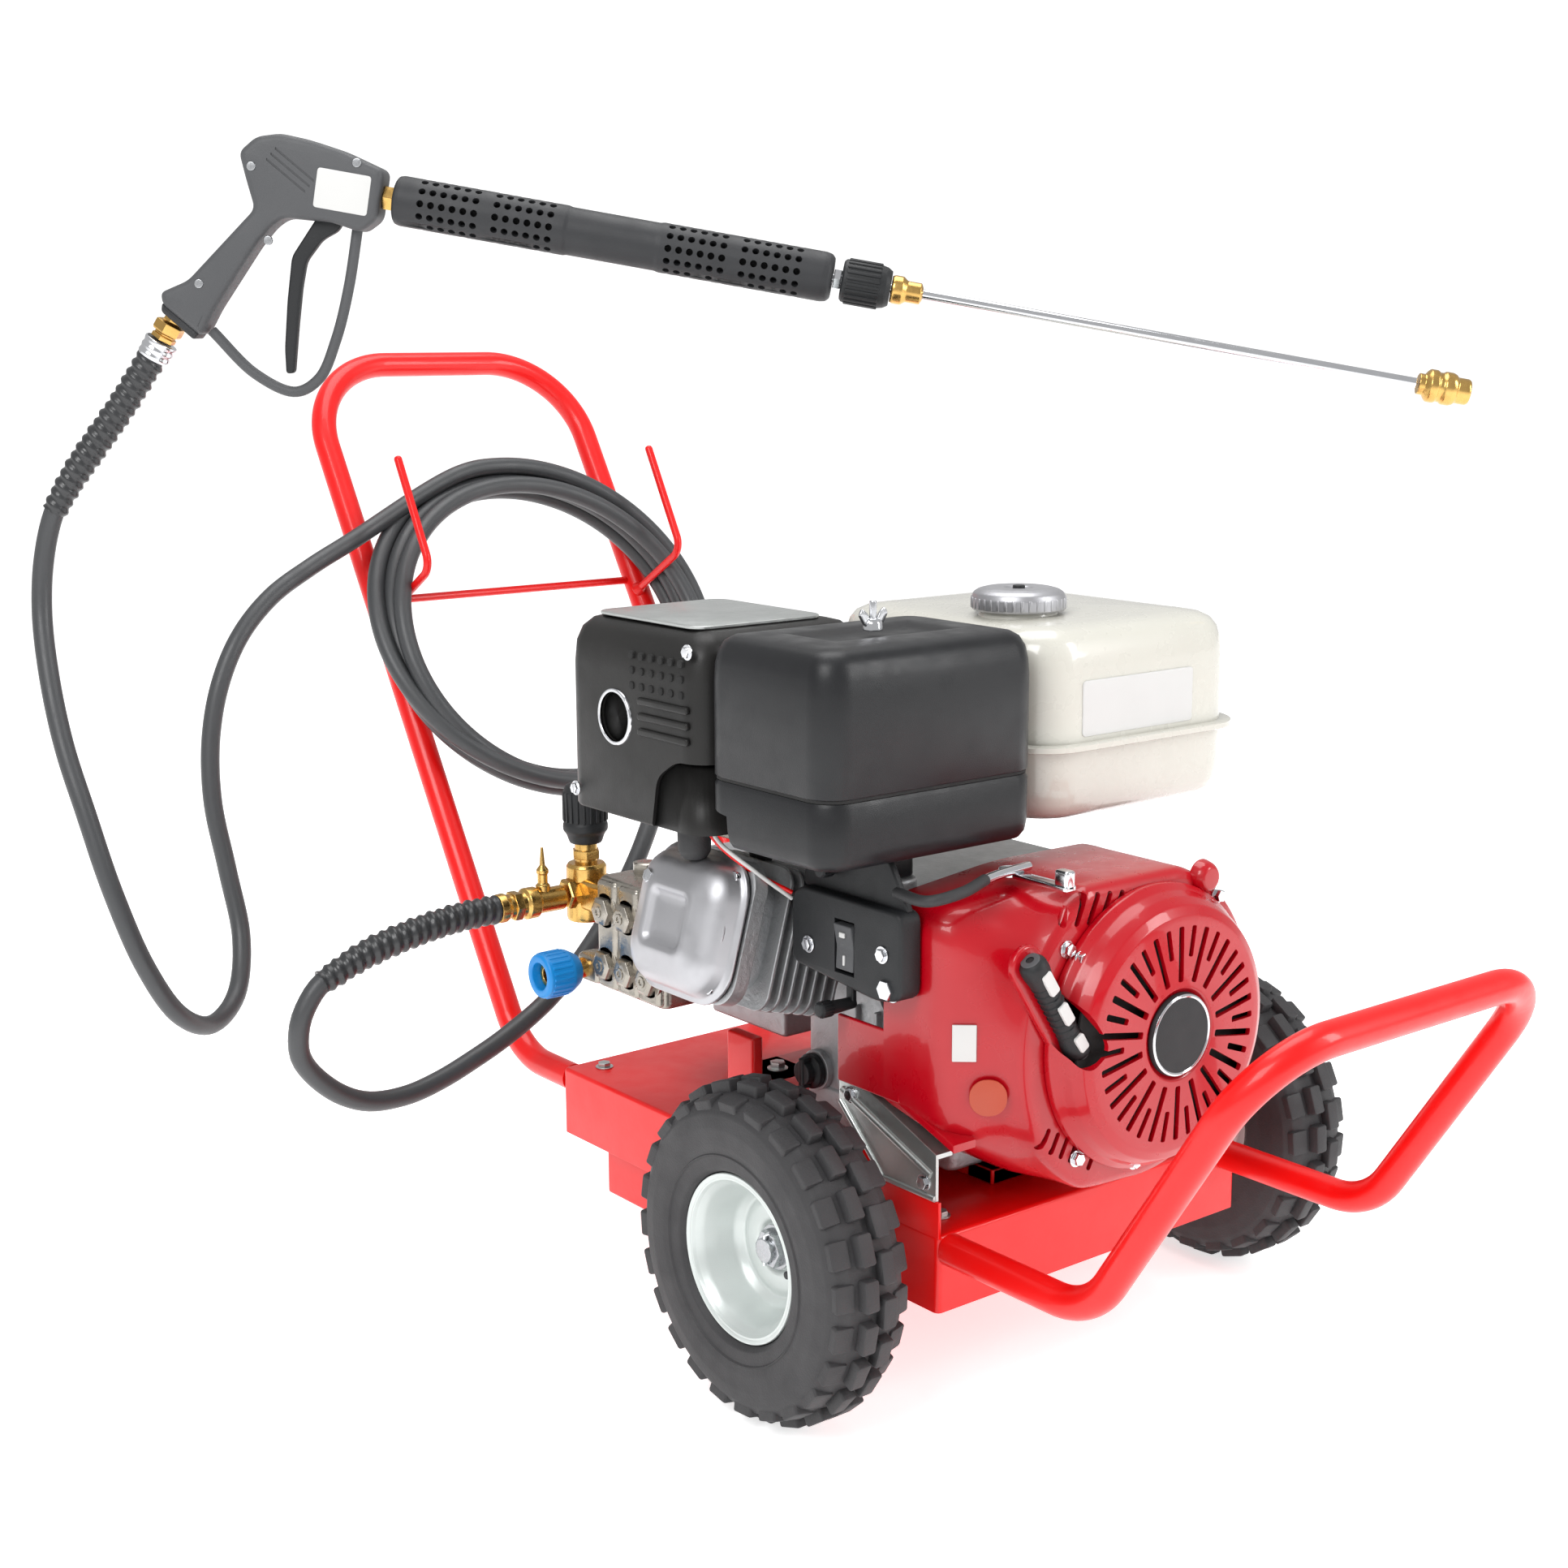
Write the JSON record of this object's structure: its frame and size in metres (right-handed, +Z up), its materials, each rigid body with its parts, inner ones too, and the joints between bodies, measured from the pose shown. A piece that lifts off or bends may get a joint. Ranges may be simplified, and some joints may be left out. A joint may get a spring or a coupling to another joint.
{
  "type": "cold water pressure washer trolley",
  "caption": "Petrol engine and plunger pump on a red two-wheeled tube trolley, with a hanging hose coil and a spray gun with its lance.",
  "frame": {"origin": "on the ground, under the middle of the machine without its hose", "axes": "+X along the wheel axle, +Y from the recoil starter towards the push handle, +Z up"},
  "size_m": [0.9555, 1.3194, 0.9825],
  "materials": {
    "frame_red": "gloss enamel",
    "engine_red": "gloss enamel",
    "tank_white": "gloss enamel",
    "black_plastic": "satin moulded",
    "black_metal": "heat-proof satin black",
    "zinc": "bright zinc plated",
    "aluminium": "cast",
    "steel": "plain, slightly dulled",
    "brass": "machined",
    "blue_plastic": "moulded",
    "grey_plastic": "fine grained moulding",
    "rubber": "moulded",
    "tyre": "moulded block tread",
    "hose_rubber": "smooth cover"
  },
  "bodies": {
    "machine": {"air_cleaner_base": "black_plastic", "air_cleaner_cover": "black_plastic", "axle": "steel", "axle_nut_left": "steel", "axle_nut_right": "steel", "carburettor": "aluminium", "control_box": "black_plastic", "crankcase": "aluminium", "cross_rod": "frame_red", "cylinder_head": "aluminium", "deck": "frame_red", "engine_base": "frame_red", "engine_stay": "zinc", "fan_shroud": "engine_red", "front_loop": "frame_red", "fuel_tank": "tank_white", "gun_body": "grey_plastic", "gun_hose_sleeve": "hose_rubber", "hose_coil": "hose_rubber", "hose_gun_run": "hose_rubber", "hose_hook_left": "frame_red", "hose_hook_right": "frame_red", "hose_pump_run": "hose_rubber", "lance_sleeve": "black_plastic", "lance_tube": "steel", "muffler": "steel", "muffler_guard": "black_metal", "outlet_fitting": "brass", "pump_crankcase": "aluminium", "pump_flange": "aluminium", "pump_hose_sleeve": "hose_rubber", "pump_manifold": "steel", "push_handle": "frame_red", "rubber_foot_left": "rubber", "rubber_foot_right": "rubber", "spark_plug_boot": "rubber", "stand_box": "frame_red", "starter_badge": "black_plastic", "starter_cover": "engine_red", "unloader_valve": "brass", "valve_cover": "zinc"},
    "wheel_left": {"tyre_left": "tyre", "rim_left": "zinc"},
    "wheel_right": {"tyre_right": "tyre", "rim_right": "zinc"},
    "starter_handle": {"starter_grip": "black_plastic"},
    "crank": {"crankshaft_flywheel": "steel"},
    "fuel_filler_cap": {"fuel_cap": "zinc"},
    "cleaner_wing_nut": {"wing_nut": "steel"},
    "rocker_switch": {"engine_switch": "grey_plastic"},
    "choke": {"choke_lever": "black_plastic"},
    "fuel_valve": {"fuel_valve_lever": "black_plastic"},
    "throttle": {"throttle_lever": "steel"},
    "oil_cap": {"oil_filler_cap": "black_plastic"},
    "pressure_knob": {"unloader_knob": "black_plastic"},
    "inlet_nut": {"inlet_coupler": "blue_plastic"},
    "trigger": {"gun_trigger": "black_plastic"},
    "lance_clamp_nut": {"lance_nut": "black_plastic"},
    "nozzle_coupler": {"lance_coupler": "brass"},
    "hose_swivel": {"gun_swivel": "brass"}
  },
  "joints": [
    {"name": "wheel_left_spin", "type": "hinge", "parent": "machine", "child": "wheel_left", "pos_m": [-0.23971, -0.25451, 0.133], "axis": [1, 0, 0], "continuous": true},
    {"name": "wheel_right_spin", "type": "hinge", "parent": "machine", "child": "wheel_right", "pos_m": [0.26429, -0.25451, 0.133], "axis": [1, 0, 0], "continuous": true},
    {"name": "starter_pull", "type": "slide", "parent": "machine", "child": "starter_handle", "axis": [0, -0.6, 0.8], "range_m": [0, 0.55], "stiffness_N_per_m": 15, "springref_m": -0.1},
    {"name": "crank_spin", "type": "hinge", "parent": "machine", "child": "crank", "pos_m": [0.01229, -0.25451, 0.2975], "axis": [0, 1, 0], "continuous": true},
    {"name": "fuel_cap_turn", "type": "hinge", "parent": "machine", "child": "fuel_filler_cap", "pos_m": [0.03329, -0.23451, 0.5995], "axis": [0, 0, 1], "range_deg": [-90, 0]},
    {"name": "wing_nut_turn", "type": "hinge", "parent": "machine", "child": "cleaner_wing_nut", "pos_m": [-0.14471, -0.26251, 0.6025], "axis": [0, 0, 1], "continuous": true},
    {"name": "engine_switch_rock", "type": "hinge", "parent": "machine", "child": "rocker_switch", "pos_m": [-0.17971, -0.27651, 0.3655], "axis": [0, 1, 0], "range_deg": [-8, 8]},
    {"name": "choke_turn", "type": "hinge", "parent": "machine", "child": "choke", "pos_m": [-0.15571, -0.25251, 0.3975], "axis": [1, 0, 0], "range_deg": [-35, 35]},
    {"name": "fuel_valve_turn", "type": "hinge", "parent": "machine", "child": "fuel_valve", "pos_m": [-0.15571, -0.25251, 0.3555], "axis": [1, 0, 0], "range_deg": [-30, 30]},
    {"name": "throttle_turn", "type": "hinge", "parent": "machine", "child": "throttle", "pos_m": [-0.08371, -0.35051, 0.4215], "axis": [0, 0, 1], "range_deg": [-25, 25]},
    {"name": "oil_cap_turn", "type": "hinge", "parent": "machine", "child": "oil_cap", "pos_m": [-0.08871, -0.12451, 0.2095], "axis": [1, 0, 0], "continuous": true},
    {"name": "pressure_knob_turn", "type": "hinge", "parent": "machine", "child": "pressure_knob", "pos_m": [-0.15271, 0.12049, 0.3975], "axis": [0, 0, 1], "range_deg": [-270, 270]},
    {"name": "inlet_coupler_turn", "type": "hinge", "parent": "machine", "child": "inlet_nut", "pos_m": [-0.19271, 0.08349, 0.2695], "axis": [1, 0, 0], "continuous": true},
    {"name": "trigger_pull", "type": "hinge", "parent": "machine", "child": "trigger", "pos_m": [-0.30459, 0.26454, 0.90206], "axis": [0.6613, 0.7501, 0], "range_deg": [0, 16], "stiffness_Nm_per_rad": 0.4, "springref_deg": -8.59},
    {"name": "lance_nut_turn", "type": "hinge", "parent": "machine", "child": "lance_clamp_nut", "pos_m": [0.03178, -0.03202, 0.85954], "axis": [0.7387, -0.6513, -0.1736], "continuous": true},
    {"name": "lance_coupler_turn", "type": "hinge", "parent": "machine", "child": "nozzle_coupler", "pos_m": [0.40114, -0.35765, 0.77272], "axis": [0.7387, -0.6513, -0.1736], "continuous": true},
    {"name": "gun_swivel_turn", "type": "hinge", "parent": "machine", "child": "hose_swivel", "pos_m": [-0.40706, 0.35487, 0.83222], "axis": [-0.3975, 0.3504, -0.848], "continuous": true}
  ]
}
